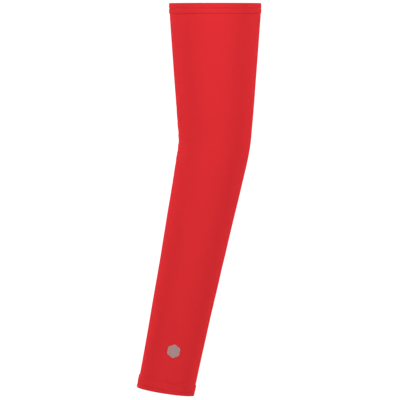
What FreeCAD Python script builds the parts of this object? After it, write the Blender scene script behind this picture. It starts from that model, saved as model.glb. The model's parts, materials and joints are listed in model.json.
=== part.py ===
import FreeCAD, Part
import math
import os

# A full-length compression arm sleeve: one knitted tube with a bend sewn in at the elbow, a
# doubled top hem with a grip elastic and silicone beads inside, a turned-up wrist hem, a lapped
# closing seam, and a small reflective mark above the wrist.
#
# Frame, in millimetres: the origin is the centre of the grip band, +Z runs up the upper arm to
# the shoulder, +X points out of the back of the elbow, and -Y is the face with the mark.

# Lengths along the arm
UPPER_LENGTH = 145.0  # top edge to elbow axis
FOREARM_LENGTH = 265.5  # elbow axis to the middle of the wrist edge
TOP_HEM_HEIGHT = 11.7
WRIST_HEM_HEIGHT = 13.0

# Outside widths of the knit, seen from the front
TOP_WIDTH = 94.8  # just under the top hem
ELBOW_WIDTH = 75.0
WRIST_WIDTH = 59.5
UPPER_TAPER = 0.96  # 1 is a straight cone, less fills the middle of the upper arm
FOREARM_TAPER = 1.3  # 1 is a straight cone, more draws the tube in faster below the elbow

# Depth from front to back, as shares of the width
TOP_ROUNDNESS = 1.0
ELBOW_ROUNDNESS = 0.96
WRIST_ROUNDNESS = 0.80

# Elbow
REST_BEND = 11.3  # degrees between upper arm and forearm as sewn
WRIST_SLANT = 2.5  # degrees by which the wrist edge leans less than the forearm
BEND_RADIUS = 90.0  # of the arm's centreline through the bend
FLEX_RANGE = 110.0  # degrees of further bend that the elbow zone leaves room for
CREASE_MARGIN = 2.0  # degrees left free on each side at full bend
BACK_MARGIN = 1.9  # degrees left free on each side when the sleeve is straight
HINGE_RELIEF = 6.0  # radius round the elbow axis that belongs to the stretch zone

# Cloth, elastic and print
KNIT = 0.8
HEM_STEP = 0.55  # how far a doubled hem stands out from the knit
ELASTIC = 0.9
ELASTIC_INSET = 0.4  # the elastic stops this far inside each edge of the hem
BEAD_HEIGHT = 1.5
BEAD_THICKNESS = 0.6
BEAD_SPACING = 5.2
PRINT = 0.15

# Thread and seams
THREAD = 0.35
THREAD_SUNK = 0.15  # depth of the needle thread in the cloth it is sewn through
LOOPER_SUNK = 0.3  # depth of the looper thread, on the inside, in what it is sewn through
TOP_ROW_INSET = 0.7  # lower needle row of the top hem, above the hem's lower edge
TOP_ROW_SPACING = 5.4
WRIST_ROW_INSET = 1.0  # upper needle row of the wrist hem, below the hem's upper edge
WRIST_ROW_SPACING = 8.0
SEAM_AZIMUTH = 152.0  # degrees round the arm, from the back of the elbow by way of +Y
SEAM_WIDTH = 6.0
SEAM_LAP = 0.45
SEAM_ROW_SPACING = 4.4
BARTACK_WIDTH = 1.8
BARTACK_INSET = 1.0  # from each edge of the hem

# Care label
LABEL_WIDTH = 14.0
LABEL_LENGTH = 24.0
LABEL_THICKNESS = 0.5
LABEL_GAP = 0.9  # between the label and the knit

# Reflective mark, whose holes fill its width
MARK_WIDTH = 12.6  # across flats
MARK_CORNER = 1.6
MARK_ABOVE_EDGE = 45.5  # its middle, above the middle of the wrist edge
MARK_HOLE = 0.9
MARK_HOLE_RINGS = 2  # rings of holes round the middle one

STATION_STEP = 16.0  # the most between two cross-sections of a loft
FAR = 500.0  # longer than anything in the sleeve

GRIP_RADIUS = TOP_WIDTH / 2 + HEM_STEP - 2 * KNIT - ELASTIC - BEAD_THICKNESS
ELBOW_HEIGHT = TOP_HEM_HEIGHT / 2 - UPPER_LENGTH
PANEL_TOP = UPPER_LENGTH - TOP_HEM_HEIGHT  # above the elbow axis
PANEL_END = FOREARM_LENGTH - WRIST_HEM_HEIGHT  # below the elbow axis
MARK_FROM_ELBOW = FOREARM_LENGTH - MARK_ABOVE_EDGE
MARK_HOLE_PITCH = MARK_WIDTH / (2 * MARK_HOLE_RINGS + 1)
BEND_TANGENT = BEND_RADIUS * math.tan(math.radians(REST_BEND / 2))


def vector(x, y, z):
    return FreeCAD.Vector(x, y, z)


def mix(start, end, share):
    return start + (end - start) * share


class Station:
    """One cross-section of the arm: an ellipse with its centre, tilt, width and depth."""

    def __init__(self, x, z, tilt, width, roundness):
        lean = math.radians(tilt)
        self.centre = vector(x, 0, z)
        self.outward = vector(math.cos(lean), 0, -math.sin(lean))
        self.up = vector(math.sin(lean), 0, math.cos(lean))
        self.half_width = width / 2
        self.half_depth = width * roundness / 2

    def place(self):
        frame = FreeCAD.Matrix(
            self.outward.x, 0, self.up.x, self.centre.x,
            self.outward.y, 1, self.up.y, self.centre.y,
            self.outward.z, 0, self.up.z, self.centre.z,
            0, 0, 0, 1,
        )
        return FreeCAD.Placement(frame)

    def ellipse(self, grow):
        curve = Part.Ellipse(vector(0, 0, 0), self.half_width + grow, self.half_depth + grow)
        wire = Part.Wire([curve.toShape()])
        wire.Placement = self.place()
        return wire

    def patch(self, azimuth, across, low, high, shift=0.0):
        """A rectangle on the outside at an azimuth: across wide, from low to high off the cloth."""
        turn = math.radians(azimuth)
        foot = vector(self.half_width * math.cos(turn), self.half_depth * math.sin(turn), 0)
        normal = vector(self.half_depth * math.cos(turn), self.half_width * math.sin(turn), 0)
        normal.normalize()
        along = vector(-normal.y, normal.x, 0)
        corners = [
            foot + along * (shift + side * across / 2) + normal * level
            for side, level in ((-1, low), (1, low), (1, high), (-1, high))
        ]
        wire = Part.makePolygon(corners + corners[:1])
        wire.Placement = self.place()
        return wire


def upper_station(height):
    """Cross-section of the upper arm at a height above the elbow axis."""
    share = height / PANEL_TOP
    width = mix(ELBOW_WIDTH, TOP_WIDTH, share**UPPER_TAPER)
    roundness = mix(ELBOW_ROUNDNESS, TOP_ROUNDNESS, min(share, 1.0))
    return Station(0, ELBOW_HEIGHT + height, 0, width, roundness)


def forearm_station(distance):
    """Cross-section of the forearm at a distance below the elbow axis."""
    share = distance / PANEL_END
    left = max(1.0 - share, 0.0)
    past = max(distance - PANEL_END, 0.0) / WRIST_HEM_HEIGHT
    width = WRIST_WIDTH + (ELBOW_WIDTH - WRIST_WIDTH) * left**FOREARM_TAPER
    roundness = mix(ELBOW_ROUNDNESS, WRIST_ROUNDNESS, min(share, 1.0))
    lean = math.radians(REST_BEND)
    x = -distance * math.sin(lean)
    z = ELBOW_HEIGHT - distance * math.cos(lean)
    return Station(x, z, REST_BEND - WRIST_SLANT * past, width, roundness)


def elbow_station(share):
    """Cross-section in the bend, from its upper end at 0 to its lower end at 1."""
    turned = math.radians(REST_BEND * share)
    x = -BEND_RADIUS * (1 - math.cos(turned))
    z = ELBOW_HEIGHT + BEND_TANGENT - BEND_RADIUS * math.sin(turned)
    return Station(x, z, REST_BEND * share, ELBOW_WIDTH, ELBOW_ROUNDNESS)


def spaced(start, end):
    steps = max(1, math.ceil(abs(end - start) / STATION_STEP))
    return [mix(start, end, i / steps) for i in range(steps + 1)]


def arm_stations(top, end):
    """Cross-sections from a height above the elbow axis to a distance below it."""
    upper = [upper_station(h) for h in spaced(top, 2 * BEND_TANGENT)]
    forearm = [forearm_station(d) for d in spaced(2 * BEND_TANGENT, end)]
    return upper + [elbow_station(0.5)] + forearm


def tube(stations, outside, inside):
    """A hollow tube through cross-sections: how far its outside and inside lie off the cloth."""
    outer = Part.makeLoft([s.ellipse(outside) for s in stations], True)
    inner = Part.makeLoft([s.ellipse(inside) for s in stations], True)
    return outer.cut(inner)


def strip(stations, azimuth, across, low, high, shift=0.0):
    sections = [s.patch(azimuth, across, low, high, shift) for s in stations]
    return Part.makeLoft(sections, True)


def ring(inner_radius, outer_radius, low, high):
    height = high - low
    outer = Part.makeCylinder(outer_radius, height, vector(0, 0, low))
    return outer.cut(Part.makeCylinder(inner_radius, height, vector(0, 0, low)))


def wedge(first, last):
    """A prism across the arm, from one direction round the elbow axis to another, in degrees."""
    pivot = vector(0, 0, ELBOW_HEIGHT)
    relief = Part.makeCylinder(HINGE_RELIEF, 2 * FAR, pivot - vector(0, FAR, 0), vector(0, 1, 0))
    directions = [mix(first, last, i / 4) for i in range(5)]
    rim = [
        pivot + vector(math.cos(math.radians(a)), 0, math.sin(math.radians(a))) * FAR
        for a in directions
    ]
    corners = [point - vector(0, FAR, 0) for point in [pivot] + rim + [pivot]]
    return Part.Face(Part.makePolygon(corners)).extrude(vector(0, 2 * FAR, 0)).cut(relief)


def split_at_elbow(shape):
    """Upper arm, elbow zone and forearm parts of something that runs the whole length."""
    crease = 180.0 - REST_BEND / 2
    back = crease - 180.0
    crease_half = FLEX_RANGE / 2 + CREASE_MARGIN
    back_half = REST_BEND / 2 + BACK_MARGIN
    upper_zone = wedge(back + back_half, crease - crease_half)
    forearm_zone = wedge(crease + crease_half, 360.0 + back - back_half)
    upper = shape.common(upper_zone)
    forearm = shape.common(forearm_zone)
    elbow = shape.cut(upper_zone).cut(forearm_zone)
    return upper, elbow, forearm


def knit_panels():
    shell = tube(arm_stations(PANEL_TOP, PANEL_END), 0, -KNIT)
    upper, elbow, forearm = split_at_elbow(shell)
    return {"upper_arm_panel": upper, "elbow_stretch_zone": elbow, "forearm_panel": forearm}


def on_cloth(stations, azimuth, across, low, high, shift=0.0):
    """A strip at an azimuth that is curved to the cloth, from low to high off it."""
    cutter = strip(stations, azimuth, across, low - KNIT, high + KNIT, shift)
    return tube(stations, high, low).common(cutter)


def closing_seam():
    stations = arm_stations(PANEL_TOP, PANEL_END)
    lap = split_at_elbow(on_cloth(stations, SEAM_AZIMUTH, SEAM_WIDTH, 0, SEAM_LAP))
    low = SEAM_LAP - THREAD_SUNK
    rows = [
        split_at_elbow(on_cloth(stations, SEAM_AZIMUTH, THREAD, low, low + THREAD, shift))
        for shift in (-SEAM_ROW_SPACING / 2, SEAM_ROW_SPACING / 2)
    ]
    parts = {}
    for i, zone in enumerate(("upper", "elbow", "forearm")):
        parts["seam_lap_" + zone] = lap[i]
        parts["seam_needle_rows_" + zone] = Part.makeCompound([row[i] for row in rows])
    return parts


def top_hem():
    outside = TOP_WIDTH / 2 + HEM_STEP
    inside = outside - 2 * KNIT
    middle = TOP_HEM_HEIGHT / 2
    hem = ring(inside, outside, -middle, middle)
    top_edges = [e for e in hem.Edges if e.BoundBox.ZMin > middle - 0.01 and len(e.Vertexes) == 1]
    hem = hem.makeFillet(KNIT * 0.95, top_edges)
    elastic_half = middle - ELASTIC_INSET
    elastic_inside = inside - ELASTIC
    beads = [
        ring(GRIP_RADIUS, elastic_inside, z - BEAD_HEIGHT / 2, z + BEAD_HEIGHT / 2)
        for z in (-BEAD_SPACING / 2, BEAD_SPACING / 2)
    ]
    parts = {
        "top_hem": hem,
        "grip_elastic": ring(elastic_inside, inside, -elastic_half, elastic_half),
        "silicone_beads": Part.makeCompound(beads),
    }
    sewn = outside - THREAD_SUNK
    under = elastic_inside + LOOPER_SUNK
    lower_row = TOP_ROW_INSET - middle
    looper = []
    for name, z in (("lower", lower_row), ("upper", lower_row + TOP_ROW_SPACING)):
        low, high = z - THREAD / 2, z + THREAD / 2
        parts["top_needle_row_" + name] = ring(sewn, sewn + THREAD, low, high)
        looper.append(ring(under - THREAD, under, low, high))
    parts["top_looper_rows"] = Part.makeCompound(looper)
    return parts


def wrist_hem():
    stations = [forearm_station(d) for d in (PANEL_END, FOREARM_LENGTH)]
    inside = HEM_STEP - 2 * KNIT
    hem = tube(stations, HEM_STEP, inside)
    sewn = HEM_STEP - THREAD_SUNK
    under = inside + LOOPER_SUNK
    parts = {"wrist_hem": hem}
    upper_row = PANEL_END + WRIST_ROW_INSET
    looper = []
    for name, at in (("upper", upper_row), ("lower", upper_row + WRIST_ROW_SPACING)):
        row = [forearm_station(at + side * THREAD / 2) for side in (-1, 1)]
        parts["wrist_needle_row_" + name] = tube(row, sewn + THREAD, sewn)
        looper.append(tube(row, under, under - THREAD))
    parts["wrist_looper_rows"] = Part.makeCompound(looper)
    return parts


def bartacks():
    low = HEM_STEP - THREAD_SUNK
    high = HEM_STEP + THREAD
    top = [upper_station(h) for h in (UPPER_LENGTH - BARTACK_INSET, PANEL_TOP + BARTACK_INSET)]
    for station in top:
        station.half_width = station.half_depth = TOP_WIDTH / 2
    wrist_ends = (PANEL_END + BARTACK_INSET, FOREARM_LENGTH - BARTACK_INSET)
    wrist = [forearm_station(d) for d in wrist_ends]
    return {
        "top_bartack": strip(top, SEAM_AZIMUTH, BARTACK_WIDTH, low, high),
        "wrist_bartack": strip(wrist, SEAM_AZIMUTH, BARTACK_WIDTH, low, high),
    }


def care_label():
    """A tab caught under the lower edge of the grip elastic, hanging down over the seam."""
    top = PANEL_TOP + ELASTIC_INSET
    heights = (top, top - LABEL_LENGTH)
    high = -KNIT - LABEL_GAP
    label = strip(
        [upper_station(h) for h in heights],
        SEAM_AZIMUTH, LABEL_WIDTH, high - LABEL_THICKNESS, high,
    )
    return {"care_label": label}


def hexagon(across_flats, corner):
    """A face with rounded corners, flat to the XY plane."""
    reach = across_flats / 2 / math.cos(math.radians(30))
    points = [
        vector(reach * math.cos(math.radians(a)), reach * math.sin(math.radians(a)), 0)
        for a in range(30, 391, 60)
    ]
    prism = Part.Face(Part.makePolygon(points)).extrude(vector(0, 0, 1))
    upright = [e for e in prism.Edges if abs(e.tangentAt(e.FirstParameter).z) > 0.99]
    rounded = prism.makeFillet(corner, upright)
    return [f for f in rounded.Faces if f.BoundBox.ZMax < 0.01][0]


def reflective_mark():
    """A perforated hexagon of reflective film, bonded to the front of the forearm."""
    outline = hexagon(MARK_WIDTH, MARK_CORNER).extrude(vector(0, 0, FAR))
    holes = []
    for row in range(-MARK_HOLE_RINGS, MARK_HOLE_RINGS + 1):
        count = 2 * MARK_HOLE_RINGS + 1 - abs(row)
        for i in range(count):
            x = (i - (count - 1) / 2) * MARK_HOLE_PITCH
            y = row * MARK_HOLE_PITCH * math.cos(math.radians(30))
            holes.append(Part.makeCylinder(MARK_HOLE / 2, FAR, vector(x, y, 0)))
    punch = outline.cut(Part.makeCompound(holes))
    station = forearm_station(MARK_FROM_ELBOW)
    facing = FreeCAD.Matrix(
        station.outward.x, station.up.x, 0, station.centre.x,
        station.outward.y, station.up.y, -1, station.centre.y,
        station.outward.z, station.up.z, 0, station.centre.z,
        0, 0, 0, 1,
    )
    punch.Placement = FreeCAD.Placement(facing)
    near = [forearm_station(MARK_FROM_ELBOW + k * MARK_WIDTH) for k in (-1, -0.5, 0, 0.5, 1)]
    return {"reflective_mark": tube(near, PRINT, 0).common(punch)}


def export(parts):
    os.makedirs("parts", exist_ok=True)
    for name, shape in sorted(parts.items()):
        solids = Part.makeCompound(shape.Solids)
        if not solids.Solids or not solids.isValid():
            raise ValueError(name + " isn't a valid solid")
        solids.exportStep("parts/" + name + ".step")
        print(name, len(solids.Solids), "solids", round(solids.Volume, 1), "mm3")


def main():
    parts = {}
    makers = (knit_panels, closing_seam, top_hem, wrist_hem, bartacks, care_label, reflective_mark)
    for make in makers:
        parts.update(make())
    export(parts)


main()
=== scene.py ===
"""A compression arm sleeve: stretch knit over an unseen arm, with hems, seams, grip and mark."""

import json
import math

import bmesh
import bpy
import numpy as np
from bpy.props import FloatProperty, FloatVectorProperty, IntProperty, PointerProperty
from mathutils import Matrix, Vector
from mathutils.bvhtree import BVHTree
from mathutils.geometry import delaunay_2d_cdt

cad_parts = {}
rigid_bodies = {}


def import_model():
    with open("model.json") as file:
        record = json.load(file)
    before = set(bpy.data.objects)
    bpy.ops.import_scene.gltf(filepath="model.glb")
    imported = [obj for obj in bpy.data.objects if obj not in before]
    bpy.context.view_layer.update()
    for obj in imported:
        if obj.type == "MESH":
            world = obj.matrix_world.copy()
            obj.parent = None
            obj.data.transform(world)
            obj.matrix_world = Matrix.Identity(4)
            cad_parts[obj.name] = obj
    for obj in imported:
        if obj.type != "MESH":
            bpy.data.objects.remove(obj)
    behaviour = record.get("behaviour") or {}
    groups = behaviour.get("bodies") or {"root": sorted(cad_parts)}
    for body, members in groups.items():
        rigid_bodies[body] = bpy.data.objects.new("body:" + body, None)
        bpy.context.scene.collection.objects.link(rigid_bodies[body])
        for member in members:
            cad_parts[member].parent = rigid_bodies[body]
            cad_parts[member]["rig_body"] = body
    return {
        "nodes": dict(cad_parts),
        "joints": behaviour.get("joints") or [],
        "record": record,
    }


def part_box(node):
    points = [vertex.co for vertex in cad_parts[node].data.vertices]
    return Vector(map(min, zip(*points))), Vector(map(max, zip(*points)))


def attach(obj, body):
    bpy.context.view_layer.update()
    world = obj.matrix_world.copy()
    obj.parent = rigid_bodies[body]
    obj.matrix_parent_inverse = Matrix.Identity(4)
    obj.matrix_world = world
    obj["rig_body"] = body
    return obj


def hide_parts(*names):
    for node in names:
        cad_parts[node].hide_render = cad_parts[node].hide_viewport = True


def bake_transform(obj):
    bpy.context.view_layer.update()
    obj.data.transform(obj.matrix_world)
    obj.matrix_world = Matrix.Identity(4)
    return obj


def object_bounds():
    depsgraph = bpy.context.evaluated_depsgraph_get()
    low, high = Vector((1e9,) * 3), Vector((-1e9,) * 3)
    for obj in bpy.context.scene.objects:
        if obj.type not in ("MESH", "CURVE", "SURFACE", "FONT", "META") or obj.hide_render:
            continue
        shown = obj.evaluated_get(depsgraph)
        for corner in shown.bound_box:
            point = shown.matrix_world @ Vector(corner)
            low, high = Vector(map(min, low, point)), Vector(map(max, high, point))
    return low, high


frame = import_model()
CAD_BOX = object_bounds()

bl_info = {
    "name": "Compression arm sleeve",
    "version": (1, 0, 0),
    "blender": (4, 5, 0),
    "location": "3D View > Sidebar > Sleeve",
    "description": "Builds a compression sleeve: knit, hems, seams, grip band, label and mark",
    "category": "Object",
}

MM = 0.001
TURN = 2 * math.pi
FRONT = math.radians(270)  # azimuths start at the back of the elbow and turn by way of +Y
CROOK = math.radians(180)
SIDE = np.array([0.0, 1.0, 0.0])
CLOTH_MAP = "cloth"  # UV map in metres: round the arm from the front, and along the cloth

UPPER, FOREARM = "upper_arm", "forearm"
PANELS = ("upper_arm_panel", "elbow_stretch_zone", "forearm_panel")
ZONES = ("upper", "elbow", "forearm")
FINISH = "_finish"  # ends each material's name, as the frame's plain ones bear the slots' names


# ---------------- sizes and colours


def length_property(name, description, default):
    return FloatProperty(
        name=name, description=description, default=default, unit="LENGTH", precision=5
    )


def colour_property(name, description, default):
    return FloatVectorProperty(
        name=name, description=description, default=default, subtype="COLOR", min=0, max=1
    )


class SleeveKnit(bpy.types.PropertyGroup):
    colour: colour_property("Colour", "Dyed colour of the knit", (0.72, 0.028, 0.034))
    wale: length_property("Wale pitch", "Width of one column of knit loops", 0.62 * MM)
    course: length_property("Course pitch", "Height of one row of knit loops", 0.46 * MM)
    around: IntProperty(
        name="Steps round the arm", description="Mesh steps round the arm", default=192, min=48
    )
    along: length_property("Step along the arm", "Mesh step between the hems", 2.8 * MM)
    ripple: length_property(
        "Ripple", "Depth of the slow unevenness of the stretched cloth", 0.10 * MM
    )
    gather: length_property(
        "Gather", "Depth of the soft folds in the crook of the elbow", 0.16 * MM
    )
    # Nothing here bends the cloth over this reach: across_elbow only works out the centreline at
    # both ends of it, then bakes each piece's transform.
    bend_reach: length_property(
        "Bend reach", "How far from the elbow the cloth takes part in its bend", 75 * MM
    )


class SleeveThread(bpy.types.PropertyGroup):
    colour: colour_property("Colour", "Colour of the sewing thread", (0.64, 0.024, 0.030))
    thickness: length_property("Thickness", "Thickness of the thread", 0.30 * MM)
    stitch: length_property("Stitch length", "Length of one stitch", 2.7 * MM)
    pull: length_property("Pull", "How deep a needle row pulls into the cloth", 0.38 * MM)


class SleeveSeam(bpy.types.PropertyGroup):
    width: length_property("Width", "Width of the closing seam's lap", 6.0 * MM)
    height: length_property(
        "Height", "How far the closing seam stands out from the knit", 0.45 * MM
    )
    row_spacing: length_property("Row spacing", "Between the closing seam's needle rows", 4.4 * MM)
    bartack: length_property("Bartack width", "Width of the bar of stitches in each hem", 1.8 * MM)
    bartack_inset: length_property(
        "Bartack inset", "From a bartack's ends to the edges of its hem", 1.0 * MM
    )


class SleeveGrip(bpy.types.PropertyGroup):
    elastic_colour: colour_property(
        "Elastic colour", "Colour of the elastic in the top hem", (0.47, 0.016, 0.022)
    )
    rib: length_property("Rib pitch", "Spacing of the elastic's ribs", 1.6 * MM)
    silicone_colour: colour_property(
        "Silicone colour", "Colour of the gripping beads", (0.80, 0.74, 0.72)
    )


class SleeveTrim(bpy.types.PropertyGroup):
    label_colour: colour_property(
        "Label colour", "Colour of the blank care label", (0.80, 0.80, 0.78)
    )
    label_width: length_property("Label width", "Width of the label's ribbon", 14.0 * MM)
    label_ply: length_property("Label thickness", "Thickness of the label's ribbon", 0.12 * MM)
    film_colour: colour_property("Film colour", "Colour of the reflective film", (0.37, 0.28, 0.27))
    film: length_property("Film thickness", "How far the film stands out from the knit", 0.15 * MM)
    film_width: length_property(
        "Film width", "Width of the hexagon of film across its flats", 12.6 * MM
    )
    film_corner: length_property("Film corner", "Radius of the hexagon's corners", 1.6 * MM)
    film_holes: IntProperty(
        name="Rings of holes", description="Rings of holes round the film's middle hole",
        default=2, min=0, max=3,
    )
    hole: length_property("Hole", "Diameter of a hole in the film", 0.9 * MM)
    hole_pitch: length_property("Hole pitch", "Spacing of the film's holes", 2.52 * MM)


class SleeveStage(bpy.types.PropertyGroup):
    distance: length_property("Camera distance", "From the camera to the sleeve", 3.3)
    elevation: FloatProperty(
        name="Camera elevation", description="Height of the camera above the sleeve's middle",
        subtype="ANGLE", default=math.radians(3.2),
    )
    aside: FloatProperty(
        name="Aside", description="Share of the picture by which the sleeve lies off its middle",
        default=0.0028,
    )
    margin: FloatProperty(
        name="Margin", description="Share of the picture left free above and below",
        subtype="FACTOR", default=0.0085, min=0, max=0.3,
    )
    key: FloatProperty(
        name="Front light", description="Power of the soft light above the camera",
        subtype="POWER", unit="POWER", default=11.7,
    )
    rim: FloatProperty(
        name="Side lights", description="Power of the two soft lights behind the sleeve",
        subtype="POWER", unit="POWER", default=12.8,
    )
    ambient: FloatProperty(
        name="Surrounding light", description="Strength of the light from all round",
        default=0.34, min=0,
    )


# ---------------- the arm, read from the frame


def tree_of(*nodes):
    vertices, faces = [], []
    for node in nodes:
        mesh = frame["nodes"][node].data
        first = len(vertices)
        vertices += [v.co.copy() for v in mesh.vertices]
        faces += [[first + i for i in p.vertices] for p in mesh.polygons]
    return BVHTree.FromPolygons(vertices, faces)


def smooth_line(stations, values):
    """A smooth function through values at stations, flat beyond both ends."""
    slopes = np.gradient(values, stations)

    def line(at):
        x = np.clip(at, stations[0], stations[-1])
        i = np.clip(np.searchsorted(stations, x) - 1, 0, len(stations) - 2)
        gap = stations[i + 1] - stations[i]
        t = (x - stations[i]) / gap
        start = values[i] * (1 + 2 * t) * (1 - t) ** 2 + slopes[i] * gap * t * (1 - t) ** 2
        end = values[i + 1] * (3 - 2 * t) * t**2 - slopes[i + 1] * gap * (1 - t) * t**2
        return start + end

    return line


def ease(x):
    x = np.clip(x, 0, 1)
    return x * x * (3 - 2 * x)


def bump(x, width):
    return np.exp(-((x / width) ** 2))


def unit(vectors):
    return vectors / np.linalg.norm(vectors, axis=-1, keepdims=True)


class Arm:
    """The unseen arm: its centreline from the top edge down, and the ovals round it."""

    STATIONS = 26
    BEND_HALF = 18 * MM  # the centreline turns within this distance of the elbow
    STEP = 0.5 * MM
    REACH = 0.3

    def __init__(self):
        joint = frame["joints"][0]
        mounts = {m["name"]: m for m in frame["record"]["mounts"]}
        wrist = mounts["wrist_opening"]
        self.pivot = np.array(joint["pos_m"])
        self.bend = math.radians(-joint["range_deg"][0])
        self.down = np.array([-math.sin(self.bend), 0, -math.cos(self.bend)])
        self.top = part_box("top_hem")[1].z
        self.elbow = self.top - self.pivot[2]
        self.length = self.elbow + float(np.linalg.norm(np.array(wrist["pos_m"]) - self.pivot))
        self.slant = self.bend - math.atan2(-wrist["axis"][0], -wrist["axis"][2])
        self.top_end = self.span("top_hem")[1]
        self.wrist_start = self.span("wrist_hem")[0]
        self.trace_centreline()
        stations = np.linspace(self.top_end + 2 * MM, self.wrist_start - 2 * MM, self.STATIONS)
        tree = tree_of(*PANELS)
        self.half_width = smooth_line(stations, self.measure(tree, stations, 0))
        self.half_depth = smooth_line(stations, self.measure(tree, stations, math.pi / 2))

    def span(self, node):
        """How far down the arm a node starts and ends."""
        points = np.array([v.co for v in frame["nodes"][node].data.vertices])
        if frame["nodes"][node]["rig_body"] == FOREARM:
            down = self.elbow + (points - self.pivot) @ self.down
        else:
            down = self.top - points[:, 2]
        return down.min(), down.max()

    def middle(self, node):
        return sum(self.span(node)) / 2

    def trace_centreline(self):
        s = np.arange(0, self.length + 2 * self.STEP, self.STEP)
        tilt = self.bend * ease((s - self.elbow + self.BEND_HALF) / (2 * self.BEND_HALF))
        x = -np.concatenate([[0], np.cumsum(np.sin(tilt[:-1]) * self.STEP)])
        z = self.top - np.concatenate([[0], np.cumsum(np.cos(tilt[:-1]) * self.STEP)])
        past = np.clip((s - self.wrist_start) / (self.length - self.wrist_start), 0, 1)
        self.path = s, x, z, tilt - self.slant * past

    def axes(self, s):
        """Centre and outward direction of the arm at distances down it."""
        at, x, z, tilt = self.path
        lean = np.interp(s, at, tilt)
        zero = np.zeros_like(lean)
        centre = np.stack([np.interp(s, at, x), zero, np.interp(s, at, z)], -1)
        return centre, np.stack([np.cos(lean), zero, -np.sin(lean)], -1)

    def measure(self, tree, stations, azimuth):
        """Half the oval's size along an azimuth, from the frame, at each station."""
        found = []
        for centre, outward in zip(*self.axes(stations)):
            way = Vector(outward * math.cos(azimuth) + SIDE * math.sin(azimuth))
            both = [
                tree.ray_cast(Vector(centre) + side * way * self.REACH, -side * way)[3]
                for side in (1, -1)
            ]
            found.append(self.REACH - sum(both) / 2)
        return np.array(found)

    def wall(self, node, s, azimuth=0.0):
        """How far a node's inner and outer faces lie off the cloth, at one azimuth."""
        tree, centre = tree_of(node), Vector(self.axes(np.float64(s))[0])
        reach = Vector(self.place(s, azimuth, 0)) - centre
        way = reach.normalized()
        inner = tree.ray_cast(centre, way)[3]
        outer = self.REACH - tree.ray_cast(centre + self.REACH * way, -way)[3]
        return inner - reach.length, outer - reach.length

    def place(self, s, azimuth, off):
        """Points at distances down the arm, azimuths round it, and distances off the cloth."""
        s, azimuth, off = np.broadcast_arrays(s, azimuth, off)
        centre, outward = self.axes(s)
        across = (self.half_width(s) + off) * np.cos(azimuth)
        deep = (self.half_depth(s) + off) * np.sin(azimuth)
        return centre + outward * across[..., None] + SIDE * deep[..., None]

    def normal(self, s, azimuth):
        s, azimuth = np.broadcast_arrays(s, azimuth)
        across = self.half_depth(s) * np.cos(azimuth)
        deep = self.half_width(s) * np.sin(azimuth)
        found = self.axes(s)[1] * across[..., None] + SIDE * deep[..., None]
        return unit(found)

    def girth(self, s):
        points = self.place(s, np.linspace(0, TURN, 721), 0)
        return float(np.linalg.norm(np.diff(points, axis=0), axis=1).sum())

    def beside(self, s, azimuth, sideways):
        """The azimuth a distance round the arm from another."""
        step = self.place(s, np.asarray(azimuth) + 0.01, 0) - self.place(s, azimuth, 0)
        return azimuth + sideways * 0.01 / np.linalg.norm(step, axis=-1)

    def even_azimuths(self, s, count, start):
        """Azimuths spaced evenly round the oval at s."""
        fine = np.linspace(0, TURN, 1441) + start
        steps = np.linalg.norm(np.diff(self.place(s, fine, 0), axis=0), axis=1)
        run = np.concatenate([[0], np.cumsum(steps)])
        return np.interp(np.arange(count + 1) / count * run[-1], run, fine)


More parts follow.
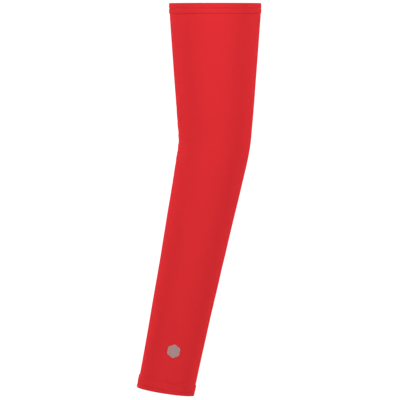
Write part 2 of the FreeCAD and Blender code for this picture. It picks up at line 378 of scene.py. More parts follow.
class Cloth:
    """Where the outside of the knit lies, with its hems, needle rows and unevenness."""

    LUMP = 0.30 * MM  # how far the seam inside a hem lifts it
    PUFF = 0.10 * MM  # how far a hem swells between its needle rows
    EDGE = 1.1 * MM  # length over which a hem steps out from the single cloth
    ROW_SHARES = (1.0, 1.0, 0.3, 1.0)  # how much of its pull each needle row shows, top to wrist

    def __init__(self, arm, knit, thread):
        self.arm, self.knit, self.thread = arm, knit, thread
        middle = (arm.top_end + arm.wrist_start) / 2
        inside, outside = arm.wall("forearm_panel", middle)
        self.single = outside - inside
        self.hem_inside, self.hem_outside = arm.wall("top_hem", arm.top_end / 2)
        bartack = sum(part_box("top_bartack"), Vector()) / 2
        self.seam = math.atan2(bartack.y, bartack.x)
        self.rows = [
            arm.middle(end + "_needle_row_" + row)
            for end in ("top", "wrist")
            for row in ("upper", "lower")
        ]

    def hem_share(self, s):
        top = 1 - ease((s - self.arm.top_end + self.EDGE) / self.EDGE)
        wrist = ease((s - self.arm.wrist_start) / self.EDGE)
        return top + wrist

    def outside(self, s, azimuth):
        """How far the outer face lies off the even oval of the knit."""
        s, azimuth = np.broadcast_arrays(s, azimuth)
        share = self.hem_share(s)
        from_seam = (azimuth - self.seam + math.pi) % TURN - math.pi
        lump = self.LUMP * bump(from_seam, 0.10)
        face = share * (self.hem_outside + lump)
        for row, row_share in zip(self.rows, self.ROW_SHARES):
            face = face - row_share * self.thread.pull * bump(s - row, 0.42 * MM)
        puff = bump(s - (self.rows[0] + self.rows[1]) / 2, 1.6 * MM)
        puff = puff + bump(s - self.rows[0] / 2, 1.6 * MM)
        puff = puff + bump(s - (self.rows[2] + self.rows[3]) / 2, 2.6 * MM)
        return face + self.PUFF * puff + (1 - share) * self.unevenness(s, azimuth)

    def unevenness(self, s, azimuth):
        slow = np.sin(s * 52 + 2 * azimuth + 0.7) * np.sin(3 * azimuth - s * 21 + 1.9)
        slow = slow + 0.6 * np.sin(s * 93 - azimuth + 2.3) * np.sin(2 * azimuth + s * 37)
        near_elbow = bump(s - self.arm.elbow, 38 * MM)
        round_crook = bump((azimuth - CROOK + math.pi) % TURN - math.pi, 0.95)
        wander = 0.9 * np.sin(2.2 * azimuth + s * 60) + 0.5 * np.sin(5 * azimuth - s * 35)
        folds = np.sin(s * TURN / (12.5 * MM) + wander)
        folds = folds + 0.5 * np.sin(s * TURN / (7.3 * MM) - wander)
        calm = 1 - bump(s - self.arm.middle("reflective_mark"), 22 * MM)
        ripple = self.knit.ripple * slow * calm
        return ripple + self.knit.gather * folds * near_elbow * round_crook

    def inside(self, s, azimuth):
        share = self.hem_share(s)
        face = self.outside(s, azimuth) - self.single
        return face + share * (self.hem_inside - self.hem_outside + self.single)

    def on(self, s, azimuth, height):
        """Points a height above the outer face."""
        return self.arm.place(s, azimuth, self.outside(s, azimuth) + height)


# ---------------- mesh building


def add_object(name, data):
    made = bpy.data.objects.new(name, data)
    bpy.context.scene.collection.objects.link(made)
    return made


class Build:
    """Gathers grids of points into one mesh."""

    def __init__(self):
        self.vertices, self.faces, self.uvs, self.count = [], [], [], 0

    def grid(self, points, uv, loop_rows=False, loop_columns=False, caps=False):
        """Quads over rows and columns of points, or over many such grids at once.

        uv has one more row or column than the points where they loop.
        """
        points = points.reshape(-1, *points.shape[-3:])
        many, rows, columns = points.shape[:3]
        index = np.arange(many * rows * columns).reshape(many, rows, columns) + self.count
        if loop_rows:
            index = np.concatenate([index, index[:, :1]], 1)
        if loop_columns:
            index = np.concatenate([index, index[:, :, :1]], 2)
        uv = np.broadcast_to(uv, (*index.shape, 2))
        first, last = slice(-1), slice(1, None)
        cell = ((first, first), (first, last), (last, last), (last, first))
        corners = [(slice(None), *corner) for corner in cell]
        self.faces += np.stack([index[c] for c in corners], -1).reshape(-1, 4).tolist()
        self.uvs.append(np.stack([uv[c] for c in corners], -2).reshape(-1, 2))
        if caps:
            for row, step in ((0, -1), (-1, 1)):
                self.faces += index[:, row, :columns][:, ::step].tolist()
                self.uvs.append(uv[:, row, :columns][:, ::step].reshape(-1, 2))
        self.vertices.append(points.reshape(-1, 3))
        self.count += many * rows * columns

    def tubes(self, paths, normals, radius, sides=7):
        """Closed tubes along paths, with normals that point away from the cloth."""
        tangents = unit(np.gradient(paths, axis=-2))
        across = unit(np.cross(tangents, normals))
        away = np.cross(across, tangents)
        turn = np.linspace(0, TURN, sides + 1)
        ring = across[..., None, :] * np.cos(turn[:-1])[:, None]
        ring = ring + away[..., None, :] * np.sin(turn[:-1])[:, None]
        steps = np.linalg.norm(np.diff(paths, axis=-2), axis=-1).reshape(-1, paths.shape[-2] - 1)
        run = np.concatenate([[0], np.cumsum(steps.mean(0))])
        uv = np.stack(np.meshgrid(turn * radius, run), -1)
        self.grid(paths[..., None, :] + ring * radius, uv, loop_columns=True, caps=True)

    def stitches(self, paths, normals, radius):
        """Stitches along paths: each dips into the cloth at both ends."""
        rise = np.sin(np.linspace(0.05, 0.95, paths.shape[-2]) * math.pi) ** 0.6
        lift = radius * (rise - 0.75)
        self.tubes(paths + normals * lift[:, None], normals, radius)

    def finish(self, name, finish, body=None, replaces=()):
        """The mesh as an object of one material, on a body unless it crosses the elbow."""
        mesh = bpy.data.meshes.new(name)
        mesh.from_pydata(np.concatenate(self.vertices).tolist(), [], self.faces)
        layer = mesh.uv_layers.new(name=CLOTH_MAP)
        layer.uv.foreach_set("vector", np.concatenate(self.uvs).astype(np.float32).ravel())
        work = bmesh.new()
        work.from_mesh(mesh)
        bmesh.ops.recalc_face_normals(work, faces=work.faces)
        work.to_mesh(mesh)
        work.free()
        mesh.shade_smooth()
        mesh.materials.append(bpy.data.materials[finish + FINISH])
        made = add_object(name, mesh)
        if replaces:
            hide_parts(*replaces)
        if body:
            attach(made, body)
        return made


def across_elbow(piece, arm, reach):
    centre = arm.axes(np.array([arm.elbow - reach, arm.elbow + reach]))[0]
    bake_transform(piece)


# ---------------- materials


def node(tree, kind, **settings):
    made = tree.nodes.new("ShaderNode" + kind)
    for key, value in settings.items():
        setattr(made, key, value)
    return made


def feed(tree, sink, source):
    """Links a source to an input, or sets the input if the source is a plain value."""
    if isinstance(source, bpy.types.NodeSocket):
        tree.links.new(source, sink)
    else:
        sink.default_value = source


def maths(tree, operation, *values):
    made = node(tree, "Math", operation=operation)
    for sink, value in zip(made.inputs, values):
        feed(tree, sink, value)
    return made.outputs[0]


def noise(tree, vector, scale):
    made = node(tree, "TexNoise")
    feed(tree, made.inputs["Vector"], vector)
    feed(tree, made.inputs["Scale"], scale)
    return made.outputs["Fac"]


def wave(tree, turns):
    """From 0 to 1 and back once in each whole turn."""
    sine = maths(tree, "SINE", maths(tree, "MULTIPLY", turns, TURN))
    return maths(tree, "MULTIPLY_ADD", sine, 0.5, 0.5)


def relief_group(name, *sizes):
    """A node group over a map in metres that will put out a height, and a colour factor that paints
    shade into the relief's low parts.
    """
    group = bpy.data.node_groups.new(name, "ShaderNodeTree")
    group.interface.new_socket("Map", in_out="INPUT", socket_type="NodeSocketVector")
    for size in sizes:
        group.interface.new_socket(size, in_out="INPUT", socket_type="NodeSocketFloat")
    given, axes = group.nodes.new("NodeGroupInput").outputs, node(group, "SeparateXYZ")
    feed(group, axes.inputs[0], given["Map"])
    return group, given, axes.outputs


def put_out(group, given, height, darkest, gain, grain, grain_scale):
    """Puts out a height, and a colour factor that grows with it: painted shade that darkens the low
    parts of the relief, with a fine random grain of tone.
    """
    for label in ("Height", "Shade"):
        group.interface.new_socket(label, in_out="OUTPUT", socket_type="NodeSocketFloat")
    # painted shade: the colour darkens where the relief is low, in the grooves between loops,
    # plies, cords and wefts
    shade = maths(group, "MULTIPLY_ADD", height, gain, darkest)
    speck = maths(group, "MULTIPLY_ADD", noise(group, given["Map"], grain_scale), grain, -grain / 2)
    out = group.nodes.new("NodeGroupOutput").inputs
    feed(group, out["Height"], height)
    feed(group, out["Shade"], maths(group, "ADD", shade, speck))


def knit_group():
    """Columns of V-shaped knit loops."""
    group, given, axes = relief_group("Knit loops", "Wale", "Course", "Uneven")
    drift = noise(group, given["Map"], 160.0)
    sway = maths(group, "MULTIPLY", maths(group, "SUBTRACT", drift, 0.5), given["Uneven"])
    column = maths(group, "ADD", maths(group, "DIVIDE", axes[0], given["Wale"]), sway)
    side = maths(group, "SUBTRACT", maths(group, "FRACT", column), 0.5)
    from_middle = maths(group, "MULTIPLY", maths(group, "ABSOLUTE", side), 2.0)
    row = maths(group, "DIVIDE", axes[1], given["Course"])
    loop = wave(group, maths(group, "MULTIPLY_ADD", from_middle, 0.55, row))
    rounded = maths(group, "SUBTRACT", 1.0, maths(group, "POWER", from_middle, 2.4))
    from_edge = maths(group, "SUBTRACT", 1.0, from_middle)
    groove = maths(group, "SUBTRACT", 1.0, maths(group, "POWER", from_edge, 6.0))
    body = maths(group, "MULTIPLY", rounded, groove)
    height = maths(group, "MULTIPLY", body, maths(group, "MULTIPLY_ADD", loop, 0.55, 0.45))
    put_out(group, given, height, 0.88, 0.16, 0.08, 900.0)


def twist_group():
    """The slanting plies of a thread, on a map that runs round it, then along it."""
    group, given, axes = relief_group("Thread twist", "Pitch", "Round")
    turned = maths(group, "DIVIDE", axes[0], given["Round"])
    along = maths(group, "DIVIDE", axes[1], given["Pitch"])
    height = wave(group, maths(group, "ADD", turned, along))
    put_out(group, given, height, 0.82, 0.22, 0.12, 2600.0)


def rib_group():
    """Cords of a ribbed elastic or ribbon, crossed by fine wefts."""
    group, given, axes = relief_group("Rib weave", "Rib", "Weft")
    cords = wave(group, maths(group, "DIVIDE", axes[0], given["Rib"]))
    wefts = wave(group, maths(group, "DIVIDE", axes[1], given["Weft"]))
    height = maths(group, "MULTIPLY_ADD", cords, 0.6, maths(group, "MULTIPLY", wefts, 0.4))
    put_out(group, given, height, 0.82, 0.2, 0.1, 1500.0)


class Finish:
    """A material that starts as a plain Principled surface."""

    def __init__(self, name, colour, roughness, **sockets):
        self.material = bpy.data.materials.new(name + FINISH)
        self.material.use_nodes = True
        self.tree = self.material.node_tree
        self.surface = self.tree.nodes["Principled BSDF"]
        self.colour = (*colour, 1.0)
        self.surface.inputs["Base Color"].default_value = self.colour
        self.surface.inputs["Roughness"].default_value = roughness
        for label, value in sockets.items():
            self.surface.inputs[label.replace("_", " ")].default_value = value

    def cloth_map(self):
        return node(self.tree, "UVMap", uv_map=CLOTH_MAP).outputs[0]

    def place(self, group, **values):
        made = node(self.tree, "Group", node_tree=bpy.data.node_groups[group])
        feed(self.tree, made.inputs["Map"], self.cloth_map())
        for label, value in values.items():
            made.inputs[label].default_value = value
        return made.outputs

    # multiplies the base colour: painted shade from the relief groups, random tone from the
    # silicone's haze and the film's clouds
    def shade(self, factor):
        mix = node(self.tree, "Mix", data_type="RGBA", blend_type="MULTIPLY")
        mix.inputs["Factor"].default_value = 1.0
        mix.inputs["A"].default_value = self.colour
        feed(self.tree, mix.inputs["B"], factor)
        feed(self.tree, self.surface.inputs["Base Color"], mix.outputs["Result"])

    def roughen(self, low, high, factor):
        value = maths(self.tree, "MULTIPLY_ADD", factor, high - low, low)
        feed(self.tree, self.surface.inputs["Roughness"], value)

    def raise_by(self, height, depth, strength=1.0):
        relief = node(self.tree, "Bump")
        relief.inputs["Strength"].default_value = strength
        relief.inputs["Distance"].default_value = depth
        feed(self.tree, relief.inputs["Height"], height)
        feed(self.tree, self.surface.inputs["Normal"], relief.outputs[0])
        return self.material


def knit_finish(knit):
    made = Finish(
        "red_knit", knit.colour, 0.6,
        Sheen_Weight=0.35, Sheen_Roughness=0.3, Specular_IOR_Level=0.0,
        Sheen_Tint=(1.0, 0.06, 0.08, 1.0),
    )
    loops = made.place("Knit loops", Wale=knit.wale, Course=knit.course, Uneven=0.5)
    # painted shade: the knit's colour darkens in the grooves between its loops
    made.shade(loops["Shade"])
    made.roughen(0.52, 0.70, noise(made.tree, made.cloth_map(), 70.0))
    return made.raise_by(loops["Height"], 0.10 * MM, 0.75)


def thread_finish(thread):
    made = Finish(
        "red_thread", thread.colour, 0.5,
        Sheen_Weight=0.2, Sheen_Roughness=0.3, Specular_IOR_Level=0.04,
        Sheen_Tint=(1.0, 0.08, 0.1, 1.0),
    )
    size = thread.thickness
    plies = made.place("Thread twist", Pitch=size * 2.2, Round=size * math.pi / 2)
    # painted shade: the thread's colour darkens between its plies
    made.shade(plies["Shade"])
    made.roughen(0.42, 0.62, plies["Height"])
    return made.raise_by(plies["Height"], 0.05 * MM)


def elastic_finish(grip):
    made = Finish(
        "red_elastic", grip.elastic_colour, 0.6,
        Sheen_Weight=0.2, Sheen_Roughness=0.4, Specular_IOR_Level=0.05,
        Sheen_Tint=(1.0, 0.15, 0.18, 1.0),
    )
    ribs = made.place("Rib weave", Rib=grip.rib / 4, Weft=0.34 * MM)
    # painted shade: the elastic's colour darkens between its ribs and wefts
    made.shade(ribs["Shade"])
    made.roughen(0.5, 0.7, ribs["Height"])
    return made.raise_by(ribs["Height"], 0.07 * MM)


def silicone_finish(grip):
    made = Finish(
        "clear_silicone", grip.silicone_colour, 0.3,
        Specular_IOR_Level=0.5, Coat_Weight=0.35, Coat_Roughness=0.2, Subsurface_Weight=0.25,
        Subsurface_Scale=0.6 * MM,
    )
    haze = noise(made.tree, made.cloth_map(), 420.0)
    made.shade(maths(made.tree, "MULTIPLY_ADD", haze, 0.16, 0.86))
    made.roughen(0.22, 0.42, haze)
    return made.raise_by(noise(made.tree, made.cloth_map(), 1300.0), 0.03 * MM)


def satin_finish(trim):
    made = Finish(
        "white_satin", trim.label_colour, 0.42,
        Sheen_Weight=0.15, Sheen_Roughness=0.3, Specular_IOR_Level=0.45, Anisotropic=0.35,
    )
    weave = made.place("Rib weave", Rib=0.22 * MM, Weft=0.5 * MM)
    # painted shade: the satin's colour darkens between the cords of its weave
    made.shade(weave["Shade"])
    made.roughen(0.34, 0.52, weave["Height"])
    return made.raise_by(weave["Height"], 0.03 * MM)


def film_finish(trim):
    made = Finish(
        "reflective_film", trim.film_colour, 0.4,
        Specular_IOR_Level=0.6, Coat_Weight=0.1, Coat_Roughness=0.35,
    )
    beads = node(made.tree, "TexVoronoi")
    feed(made.tree, beads.inputs["Vector"], made.cloth_map())
    beads.inputs["Scale"].default_value = 5200.0
    spark = maths(made.tree, "SUBTRACT", 1.0, beads.outputs["Distance"])
    cloudy = noise(made.tree, made.cloth_map(), 380.0)
    made.shade(maths(made.tree, "MULTIPLY_ADD", cloudy, 0.3, 0.82))
    feed(made.tree, made.surface.inputs["Metallic"], maths(made.tree, "MULTIPLY", cloudy, 0.25))
    made.roughen(0.34, 0.55, spark)
    return made.raise_by(spark, 0.02 * MM)


# ---------------- pieces


def sleeve(context):
    """The arm and its cloth, as the sizes of the scene's properties give them."""
    arm = Arm()
    scene = context.scene
    return arm, Cloth(arm, scene.sleeve_knit, scene.sleeve_thread)


def fold(edge, inside, outside, way):
    """Distances down the arm and off the cloth round a folded edge, from its inside face out."""
    radius = (outside - inside) / 2
    turn = np.linspace(0, math.pi, 9)[1:-1]
    return edge + way * radius * (1 - np.sin(turn)), (inside + outside) / 2 - radius * np.cos(turn)


def cloth_outline(cloth, azimuths):
    """Rows of points round the doubled-over knit, cut along the arm at each azimuth."""
    arm, knit = cloth.arm, cloth.knit
    radius = (cloth.hem_outside - cloth.hem_inside) / 2
    fine, coarse = 0.36 * MM, knit.along
    hem_top = np.arange(radius, arm.top_end + 1.5 * MM, fine)
    hem_wrist = np.arange(arm.wrist_start - 1.0 * MM, arm.length - radius, fine)
    count = round((hem_wrist[0] - hem_top[-1]) / coarse)
    middle = np.linspace(hem_top[-1], hem_wrist[0], count)[1:-1]
    s = np.concatenate([hem_top, middle, hem_wrist, [arm.length - radius]])
    top_s, top_off = fold(0, cloth.hem_inside, cloth.hem_outside, 1)
    end_s, end_off = fold(arm.length, cloth.hem_inside, cloth.hem_outside, -1)
    azimuth, back = azimuths[:, None], s[::-1]
    parts = [
        arm.place(top_s, azimuth, top_off),
        arm.place(s, azimuth, cloth.outside(s, azimuth)),
        arm.place(end_s[::-1], azimuth, end_off[::-1]),
        arm.place(back, azimuth, cloth.inside(back, azimuth)),
    ]
    return np.concatenate([top_s, s, end_s[::-1], back]), np.concatenate(parts, 1)


class SLEEVE_OT_knit(bpy.types.Operator):
    """Make the knitted tube with both of its turned hems"""

    bl_idname = "sleeve.knit"
    bl_label = "Knit and hems"

    def execute(self, context):
        arm, cloth = sleeve(context)
        knit = context.scene.sleeve_knit
        azimuths = cloth.seam + np.linspace(0, TURN, knit.around + 1)
        s, points = cloth_outline(cloth, azimuths)
        rounds = np.linalg.norm(np.diff(arm.place(s, azimuths[:, None], 0), axis=0), axis=2)
        across = np.concatenate([np.zeros((1, len(s))), np.cumsum(rounds, 0)])
        across -= across[np.abs(azimuths - FRONT).argmin()]
        steps = np.linalg.norm(np.diff(points[0], axis=0, append=points[:1, 0]), axis=1)
        along = np.concatenate([[0], np.cumsum(steps)])
        uv = np.stack(np.broadcast_arrays(np.hstack([across, across[:, :1]]), along), -1)
        build = Build()
        build.grid(points[:-1], uv, loop_rows=True, loop_columns=True)
        piece = build.finish("knit_sleeve", "red_knit", replaces=(*PANELS, "top_hem", "wrist_hem"))
        across_elbow(piece, arm, knit.bend_reach)
        lap = context.scene.sleeve_seam.width
        girths = np.array([arm.girth(x) for x in np.linspace(0, arm.length, 30)]) + lap
        return {"FINISHED"}


class SLEEVE_OT_closing_seam(bpy.types.Operator):
    """Make the lapped seam down the sleeve, its needle rows and its cover threads"""

    bl_idname = "sleeve.closing_seam"
    bl_label = "Closing seam"

    def execute(self, context):
        arm, cloth = sleeve(context)
        seam, thread = context.scene.sleeve_seam, context.scene.sleeve_thread
        start, end = arm.top_end, arm.wrist_start
        radius, row = thread.thickness / 2, seam.row_spacing / 2
        edges = np.linspace(start, end, round((end - start) / thread.stitch) + 1)
        first, last = edges[:-1], edges[1:]
        half = (first + last) / 2
        rows, covers = Build(), Build()
        for side in (-row, row):
            seam_stitches(rows, cloth, (first, last), (side, side), seam.height, radius)
        high = seam.height + 0.8 * radius
        seam_stitches(covers, cloth, (first, half), (-row, row), high, radius)
        seam_stitches(covers, cloth, (half, last), (row, -row), high, radius)
        pieces = (
            self.lap(cloth, seam, start, end),
            rows.finish("seam_needle_stitches", "red_thread",
                        replaces=["seam_needle_rows_" + zone for zone in ZONES]),
            covers.finish("seam_cover_threads", "red_thread"),
        )
        for piece in pieces:
            across_elbow(piece, arm, context.scene.sleeve_knit.bend_reach)
        return {"FINISHED"}

    def lap(self, cloth, seam, start, end):
        half = [(-1, -0.6), (-1, 0.5), (-0.93, 0.85), (-0.8, 1.0), (-0.66, 0.72), (-0.4, 0.95)]
        outline = np.array(half + [(0, 1.0)] + [(-x, y) for x, y in half[::-1]])
        side, rise = outline[:, 0] * seam.width / 2, outline[:, 1] * seam.height
        s = np.linspace(start - 0.4 * MM, end + 0.4 * MM, 280)[:, None]
        points = cloth.on(s, cloth.arm.beside(s, cloth.seam, side), rise)
        build = Build()
        uv = np.stack(np.broadcast_arrays(np.append(side, side[0]) * 1.3, s), -1)
        build.grid(points, uv, loop_columns=True, caps=True)
        laps = ["seam_lap_" + zone for zone in ZONES]
        return build.finish("closing_seam_lap", "red_knit", replaces=laps)


def seam_stitches(build, cloth, runs, sides, height, radius):
    """Stitches over the seam: each runs down the arm, and from one side to another."""
    t = np.linspace(0, 1, 7)
    first, last = (np.atleast_1d(run)[:, None] for run in runs)
    s = first + (last - first) * (0.04 + 0.92 * t)
    azimuth = cloth.arm.beside(s, cloth.seam, sides[0] + (sides[1] - sides[0]) * t)
    build.stitches(cloth.on(s, azimuth, height), cloth.arm.normal(s, azimuth), radius)


def hem_row(cloth, s, thread):
    """Stitches all round a hem on its outside."""
    build, radius = Build(), thread.thickness / 2
    edges = cloth.arm.even_azimuths(s, round(cloth.arm.girth(s) / thread.stitch), cloth.seam)
    first, last = edges[:-1, None], edges[1:, None]
    azimuth = first + (last - first) * np.linspace(0.04, 0.96, 7)
    build.stitches(cloth.on(s, azimuth, 0.4 * radius), cloth.arm.normal(s, azimuth), radius)
    return build


def chain_row(build, cloth, s, face, thread):
    """Interlocked loops of looper thread all round the inside of a hem."""
    radius = thread.thickness / 2
    edges = cloth.arm.even_azimuths(s, round(cloth.arm.girth(s) / thread.stitch), cloth.seam)
    first, last = edges[:-1, None], edges[1:, None]
    t = np.linspace(0, 1, 15)
    arch = np.sin(t * math.pi)
    azimuth = first + (last - first) * (1.32 * arch**0.8 - 0.16)
    at = s + 0.42 * MM * np.sin((t - 0.5) * TURN) * (0.55 + 0.45 * arch)
    paths = cloth.arm.place(at, azimuth, face - radius * (0.3 + 0.9 * arch**2))
    build.tubes(paths, -cloth.arm.normal(at, azimuth), 0.85 * radius, sides=6)


class SLEEVE_OT_hem_stitches(bpy.types.Operator):
    """Make the needle rows and the looper chains of both hems"""

    bl_idname = "sleeve.hem_stitches"
    bl_label = "Hem stitches"

    def execute(self, context):
        arm, cloth = sleeve(context)
        thread = context.scene.sleeve_thread
        inside = {"top": arm.wall("grip_elastic", arm.top_end / 2)[0], "wrist": cloth.hem_inside}
        for end, body in (("top", UPPER), ("wrist", FOREARM)):
            chains = Build()
            for row in ("upper", "lower"):
                name = end + "_needle_row_" + row
                s = arm.middle(name)
                stitches = hem_row(cloth, s, thread)
                stitches.finish(end + "_" + row + "_stitches", "red_thread", body, [name])
                chain_row(chains, cloth, s, inside[end], thread)
            chains.finish(end + "_looper_chains", "red_thread", body, [end + "_looper_rows"])
        return {"FINISHED"}


class SLEEVE_OT_bartacks(bpy.types.Operator):
    """Make the dense bar of stitches over the seam in each hem"""

    bl_idname = "sleeve.bartacks"
    bl_label = "Bartacks"

    def execute(self, context):
        arm, cloth = sleeve(context)
        seam, thread = context.scene.sleeve_seam, context.scene.sleeve_thread
        half, radius = seam.bartack / 2, thread.thickness / 2
        clear = seam.bartack_inset + radius
        hems = (("top", UPPER, 0, arm.top_end), ("wrist", FOREARM, arm.wrist_start, arm.length))
        for hem, body, start, end in hems:
            name = hem + "_bartack"
            count = 2 * round((end - start) / (2.5 * thread.thickness))
            edges = np.linspace(start + clear, end - clear, count + 1)
            build = Build()
            for first, side in ((0, half), (1, -half)):
                runs = edges[first:-1:2], edges[first + 1 :: 2]
                seam_stitches(build, cloth, runs, (side, -side), 1.1 * radius, radius)
            for side in (-half / 2, half / 2):
                seam_stitches(build, cloth, (edges[0], edges[-1]), (side, side), 0, radius)
            build.finish(name + "_threads", "red_thread", body, [name])
        return {"FINISHED"}


def ring_band(build, arm, azimuths, s, off):
    """A closed band round the arm, from rows of (down the arm, off the cloth) at azimuths."""
    points = arm.place(s, azimuths[:-1, None], off)
    rounds = np.linspace(0, arm.girth(float(s.mean())), len(azimuths))
    steps = np.linalg.norm(np.diff(points[0], axis=0, append=points[:1, 0]), axis=1)
    along = np.concatenate([[0], np.cumsum(steps)])
    uv = np.stack(np.meshgrid(rounds, along, indexing="ij"), -1)
    build.grid(points, uv, loop_rows=True, loop_columns=True)


class SLEEVE_OT_grip(bpy.types.Operator):
    """Make the ribbed elastic in the top hem and the silicone beads on it"""

    bl_idname = "sleeve.grip"
    bl_label = "Grip band"

    def execute(self, context):
        arm = sleeve(context)[0]
        self.elastic(arm, context.scene.sleeve_grip)
        self.beads(arm)
        return {"FINISHED"}

    def elastic(self, arm, grip):
        start, end = arm.span("grip_elastic")
        inside, outside = arm.wall("grip_elastic", (start + end) / 2)
        ribs = round(arm.girth(0) / grip.rib)
        azimuths = np.linspace(0, TURN, ribs * 5 + 1)
        wave = 1 - np.cos(azimuths[:-1, None] * ribs)
        across = np.linspace(0, 1, 11)
        full = np.sin(across * math.pi) ** 0.35
        s_in = (start + end) / 2 + (across - 0.5) * (end - start - 0.2 * MM * wave)
        off_in = inside + 0.10 * MM * wave * full + 0.2 * MM * (1 - full)
        s_out = s_in[:, -2:0:-1]
        s, off = np.hstack([s_in, s_out]), np.hstack([off_in, np.full_like(s_out, outside)])
        build = Build()
        ring_band(build, arm, azimuths, s, off)
        build.finish("ribbed_grip_elastic", "red_elastic", UPPER, ["grip_elastic"])

    def beads(self, arm):
        points = frame["nodes"]["silicone_beads"].data.vertices
        heights = arm.top - np.array([v.co.z for v in points])
        middle = (heights.min() + heights.max()) / 2
        inside, outside = arm.wall("silicone_beads", heights.min() + 0.5 * MM)
        build, azimuths = Build(), np.linspace(0, TURN, 241)
        around = azimuths[:-1, None]
        turn = np.linspace(0, TURN, 17)[:-1]
        run, rise = np.cos(turn), np.sin(turn)
        depth = np.where(rise > 0, np.abs(rise) ** 0.5 * (outside - inside), 0.08 * MM * rise)
        for bead in (heights[heights < middle], heights[heights > middle]):
            low, high = bead.min(), bead.max()
            half = (high - low) / 2
            uneven = 1 - 0.05 * (1 + np.sin(9 * around + low * 3000)) * np.sin(23 * around) ** 2
            s = (low + high) / 2 + half * uneven * np.sign(run) * np.abs(run) ** 0.7
            ring_band(build, arm, azimuths, s, outside - depth * np.ones_like(uneven))
        build.finish("silicone_grip_beads", "clear_silicone", UPPER, ["silicone_beads"])


class SLEEVE_OT_label(bpy.types.Operator):
    """Make the blank care label, a satin ribbon folded in two"""

    bl_idname = "sleeve.label"
    bl_label = "Care label"

    def execute(self, context):
        arm, cloth = sleeve(context)
        trim = context.scene.sleeve_trim
        start, end = arm.span("care_label")
        middle = sum(arm.wall("care_label", (start + end) / 2, cloth.seam)) / 2
        half, ply, radius = trim.label_width / 2, trim.label_ply, 1.3 * trim.label_ply
        down = np.linspace(start - 0.4 * MM, end - radius - ply / 2, 22)
        turn = np.linspace(math.pi / 2, -math.pi / 2, 11)[1:-1]
        s = np.concatenate([down, down[-1] + radius * np.cos(turn), down[::-1]])
        front, back = np.full_like(down, middle + radius), np.full_like(down, middle - radius)
        curl = 0.9 * MM * ease((s - start) / (end - start)) ** 2
        off = np.concatenate([front, middle + radius * np.sin(turn), back]) - curl
        path = np.stack([s, off], 1)
        tangent = unit(np.gradient(path, axis=0))
        normal = np.stack([-tangent[:, 1], tangent[:, 0]], 1)
        side = np.linspace(-half, half, 15)
        cup = 0.25 * MM * (side / half) ** 2
        faces = []
        for way in (ply / 2, -ply / 2):
            at, off = (path + way * normal).T[..., None]
            faces.append(arm.place(at, arm.beside(at, cloth.seam, side), off + cup))
        steps = np.linalg.norm(np.diff(path, axis=0), axis=1)
        run = np.concatenate([[0], np.cumsum(steps)])
        sides = np.concatenate([side, side[::-1], side[:1]])
        build = Build()
        points = np.concatenate([faces[0], faces[1][:, ::-1]], 1)
        build.grid(points, np.stack(np.meshgrid(sides, run), -1), loop_columns=True, caps=True)
        piece = build.finish("care_label_ribbon", "white_satin", UPPER, ["care_label"])
        return {"FINISHED"}


class SLEEVE_OT_mark(bpy.types.Operator):
    """Make the reflective mark, a perforated hexagon of film near the wrist"""

    bl_idname = "sleeve.mark"
    bl_label = "Reflective mark"

    def execute(self, context):
        arm, cloth = sleeve(context)
        trim = context.scene.sleeve_trim
        start, end = arm.span("reflective_mark")
        rings = [rounded_hexagon(trim.film_width, trim.film_corner)]
        turn = np.linspace(0, TURN, 17)[:-1]
        hole = trim.hole / 2 * np.stack([np.cos(turn), np.sin(turn)], 1)
        rings += [centre + hole for centre in hole_centres(trim.film_holes, trim.hole_pitch)]
        at, faces = perforated(rings, trim.film_width)
        s = (start + end) / 2 - at[:, 1]
        azimuth = arm.beside(s, FRONT, at[:, 0])
        build = Build()
        for height, step in ((trim.film, 1), (-0.05 * MM, -1)):
            build.faces += [[i + build.count for i in face[::step]] for face in faces]
            build.vertices.append(cloth.on(s, azimuth, height))
            build.count += len(at)
        edges = {edge for face in faces for edge in zip(face, face[1:] + face[:1])}
        rim = [(a, b) for a, b in edges if (b, a) not in edges]
        build.faces += [[b, a, a + len(at), b + len(at)] for a, b in rim]
        build.uvs.append(np.tile(at, (2, 1))[np.concatenate(build.faces)])
        piece = build.finish("reflective_hexagon", "reflective_film", FOREARM, ["reflective_mark"])
        piece.data.shade_flat()
        return {"FINISHED"}


def perforated(rings, width):
    """Points and faces that fill the first ring, but none of the others."""
    flat, edges = [], []
    for ring in rings:
        first, count = len(flat), len(ring)
        flat += [Vector(p) for p in ring]
        edges += [(first + i, first + (i + 1) % count) for i in range(count)]
    steps = np.arange(-width / 2, width / 2, width / 12)
    fill = np.stack(np.meshgrid(steps, steps), -1).reshape(-1, 2)
    flat += [Vector(p) for p in fill[filled(fill, rings)]]
    found = delaunay_2d_cdt(flat, edges, [], 0, 1e-7)
    at = np.array([tuple(p) for p in found[0]])
    middles = np.array([at[list(face)].mean(0) for face in found[2]])
    return at, [list(face) for face, kept in zip(found[2], filled(middles, rings)) if kept]


def filled(points, rings):
    """Whether each point lies in the first ring and in none of the others."""
    x, y = points[:, None, 0], points[:, None, 1]
    crossings = []
    for ring in rings:
        a, b = ring, np.roll(ring, -1, 0)
        spans = (a[:, 1] > y) != (b[:, 1] > y)
        rise = np.where(a[:, 1] == b[:, 1], 1, b[:, 1] - a[:, 1])
        reach = a[:, 0] + (y - a[:, 1]) / rise * (b[:, 0] - a[:, 0])
        crossings.append(np.sum(spans & (x < reach), 1) % 2 == 1)
    return crossings[0] & ~np.any(crossings[1:], 0)


def rounded_hexagon(across_flats, corner):
    """Points round a hexagon with two upright sides and rounded corners."""
    reach = (across_flats / 2 - corner) / math.cos(math.radians(30))
    centre = np.radians(30 + 60 * np.arange(6))[:, None]
    turn = centre + np.radians(np.linspace(-30, 30, 7))
    points = [reach * wave_of(centre) + corner * wave_of(turn) for wave_of in (np.cos, np.sin)]
    return np.stack(points, -1).reshape(-1, 2)


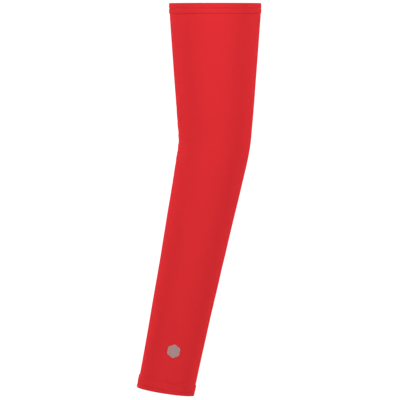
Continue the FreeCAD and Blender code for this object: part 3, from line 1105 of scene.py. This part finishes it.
def hole_centres(rings, pitch):
    for row in range(-rings, rings + 1):
        count = 2 * rings + 1 - abs(row)
        for i in range(count):
            x = (i - (count - 1) / 2) * pitch
            yield np.array([x, row * pitch * math.cos(math.radians(30))])


# ---------------- stage


WHITE = (1, 1, 1, 1)
FLOOR_DROP = 0.35  # how far the floor lies below the sleeve
WHITE_OUT = 1.1  # strength of the surroundings where the camera sees them


def aim(piece, place, target):
    piece.location = place
    piece.rotation_mode = "QUATERNION"
    piece.rotation_quaternion = (Vector(target) - Vector(place)).to_track_quat("-Z", "Y")


def soft_light(name, place, target, size, power):
    data = bpy.data.lights.new(name, "AREA")
    data.shape, data.size, data.size_y = "RECTANGLE", *size
    data.energy = power
    made = add_object(name, data)
    aim(made, place, target)
    made.visible_camera = False


class SLEEVE_OT_stage(bpy.types.Operator):
    """Make the pale floor, the soft lights and the camera"""

    bl_idname = "sleeve.stage"
    bl_label = "Stage"

    def execute(self, context):
        stage = context.scene.sleeve_stage
        low, high = CAD_BOX
        centre = (low + high) / 2
        self.floor(low.z - FLOOR_DROP)
        self.surroundings(context, stage)
        self.lights(centre, stage)
        self.camera(context, centre, high.z - low.z, stage)
        context.scene.view_settings.view_transform = "Standard"
        return {"FINISHED"}

    def floor(self, height):
        build = Build()
        turn = np.linspace(0, TURN, 97)
        radii = np.array([0.02, 0.3, 0.8, 1.6, 2.5])
        x, y = np.outer(np.cos(turn[:-1]), radii), np.outer(np.sin(turn[:-1]), radii)
        points = np.stack([x, y, np.full_like(x, height)], -1)
        uv = np.stack(np.meshgrid(turn, radii, indexing="ij"), -1)
        build.grid(points, uv, loop_rows=True)
        finish = Finish("pale_floor", (0.9, 0.9, 0.9), 0.9, Emission_Color=WHITE)
        seen = node(finish.tree, "LightPath").outputs["Is Camera Ray"]
        glow = maths(finish.tree, "MULTIPLY", seen, 0.4)
        feed(finish.tree, finish.surface.inputs["Emission Strength"], glow)
        build.finish("floor", "pale_floor")

    def surroundings(self, context, stage):
        world = bpy.data.worlds.new("white_surroundings")
        context.scene.world = world
        world.use_nodes = True
        tree = world.node_tree
        lit, seen = tree.nodes["Background"], node(tree, "Background")
        for light, strength in ((lit, stage.ambient), (seen, WHITE_OUT)):
            light.inputs["Color"].default_value = WHITE
            light.inputs["Strength"].default_value = strength
        path = node(tree, "LightPath")
        mix = node(tree, "MixShader")
        feed(tree, mix.inputs[0], path.outputs["Is Camera Ray"])
        feed(tree, mix.inputs[1], lit.outputs[0])
        feed(tree, mix.inputs[2], seen.outputs[0])
        feed(tree, tree.nodes["World Output"].inputs["Surface"], mix.outputs[0])

    def lights(self, centre, stage):
        x, y, z = centre
        soft_light("front_light", (x, y - 1.05, z + 0.75), (x, y, z + 0.1), (0.5, 0.5), stage.key)
        for side, name in ((-1, "left_light"), (1, "right_light")):
            soft_light(name, (x + side * 1.0, y + 0.74, z + 0.2), centre, (0.4, 1.3), stage.rim)

    def camera(self, context, centre, height, stage):
        data = bpy.data.cameras.new("camera")
        camera = add_object("camera", data)
        tilt = stage.elevation
        back = Vector((0, -math.cos(tilt), math.sin(tilt)))
        aim(camera, centre + back * stage.distance, centre)
        view_height = height / (1 - 2 * stage.margin)
        data.lens = data.sensor_width * stage.distance / view_height
        data.shift_x = stage.aside
        data.clip_start, data.clip_end = 0.1, 60
        context.scene.camera = camera


# ---------------- the add-on


class SLEEVE_OT_finishes(bpy.types.Operator):
    """Make the knit, thread, elastic, silicone, satin and film finishes"""

    bl_idname = "sleeve.finishes"
    bl_label = "Finishes"

    def execute(self, context):
        scene = context.scene
        knit_group()
        twist_group()
        rib_group()
        knit_finish(scene.sleeve_knit)
        thread_finish(scene.sleeve_thread)
        elastic_finish(scene.sleeve_grip)
        silicone_finish(scene.sleeve_grip)
        satin_finish(scene.sleeve_trim)
        film_finish(scene.sleeve_trim)
        return {"FINISHED"}


GROUPS = {
    "sleeve_knit": SleeveKnit,
    "sleeve_thread": SleeveThread,
    "sleeve_seam": SleeveSeam,
    "sleeve_grip": SleeveGrip,
    "sleeve_trim": SleeveTrim,
    "sleeve_stage": SleeveStage,
}
STEPS = (
    SLEEVE_OT_finishes,
    SLEEVE_OT_knit,
    SLEEVE_OT_closing_seam,
    SLEEVE_OT_hem_stitches,
    SLEEVE_OT_bartacks,
    SLEEVE_OT_grip,
    SLEEVE_OT_label,
    SLEEVE_OT_mark,
    SLEEVE_OT_stage,
)


class SLEEVE_PT_panel(bpy.types.Panel):
    """Sizes, colours and steps of the sleeve"""

    bl_idname = "SLEEVE_PT_panel"
    bl_label = "Compression sleeve"
    bl_space_type = "VIEW_3D"
    bl_region_type = "UI"
    bl_category = "Sleeve"

    def draw(self, context):
        for name, group in GROUPS.items():
            box = self.layout.box()
            for key in group.__annotations__:
                box.prop(getattr(context.scene, name), key)
        for step in STEPS:
            self.layout.operator(step.bl_idname)


def register():
    for cls in (*GROUPS.values(), *STEPS, SLEEVE_PT_panel):
        bpy.utils.register_class(cls)
    for name, group in GROUPS.items():
        setattr(bpy.types.Scene, name, PointerProperty(type=group))


def unregister():
    for name in GROUPS:
        delattr(bpy.types.Scene, name)
    for cls in (SLEEVE_PT_panel, *reversed(STEPS), *reversed(GROUPS.values())):
        bpy.utils.unregister_class(cls)


def main():
    register()
    for step in STEPS:
        group, name = step.bl_idname.split(".")
        getattr(getattr(bpy.ops, group), name)()


if __name__ == "__main__":
    main()
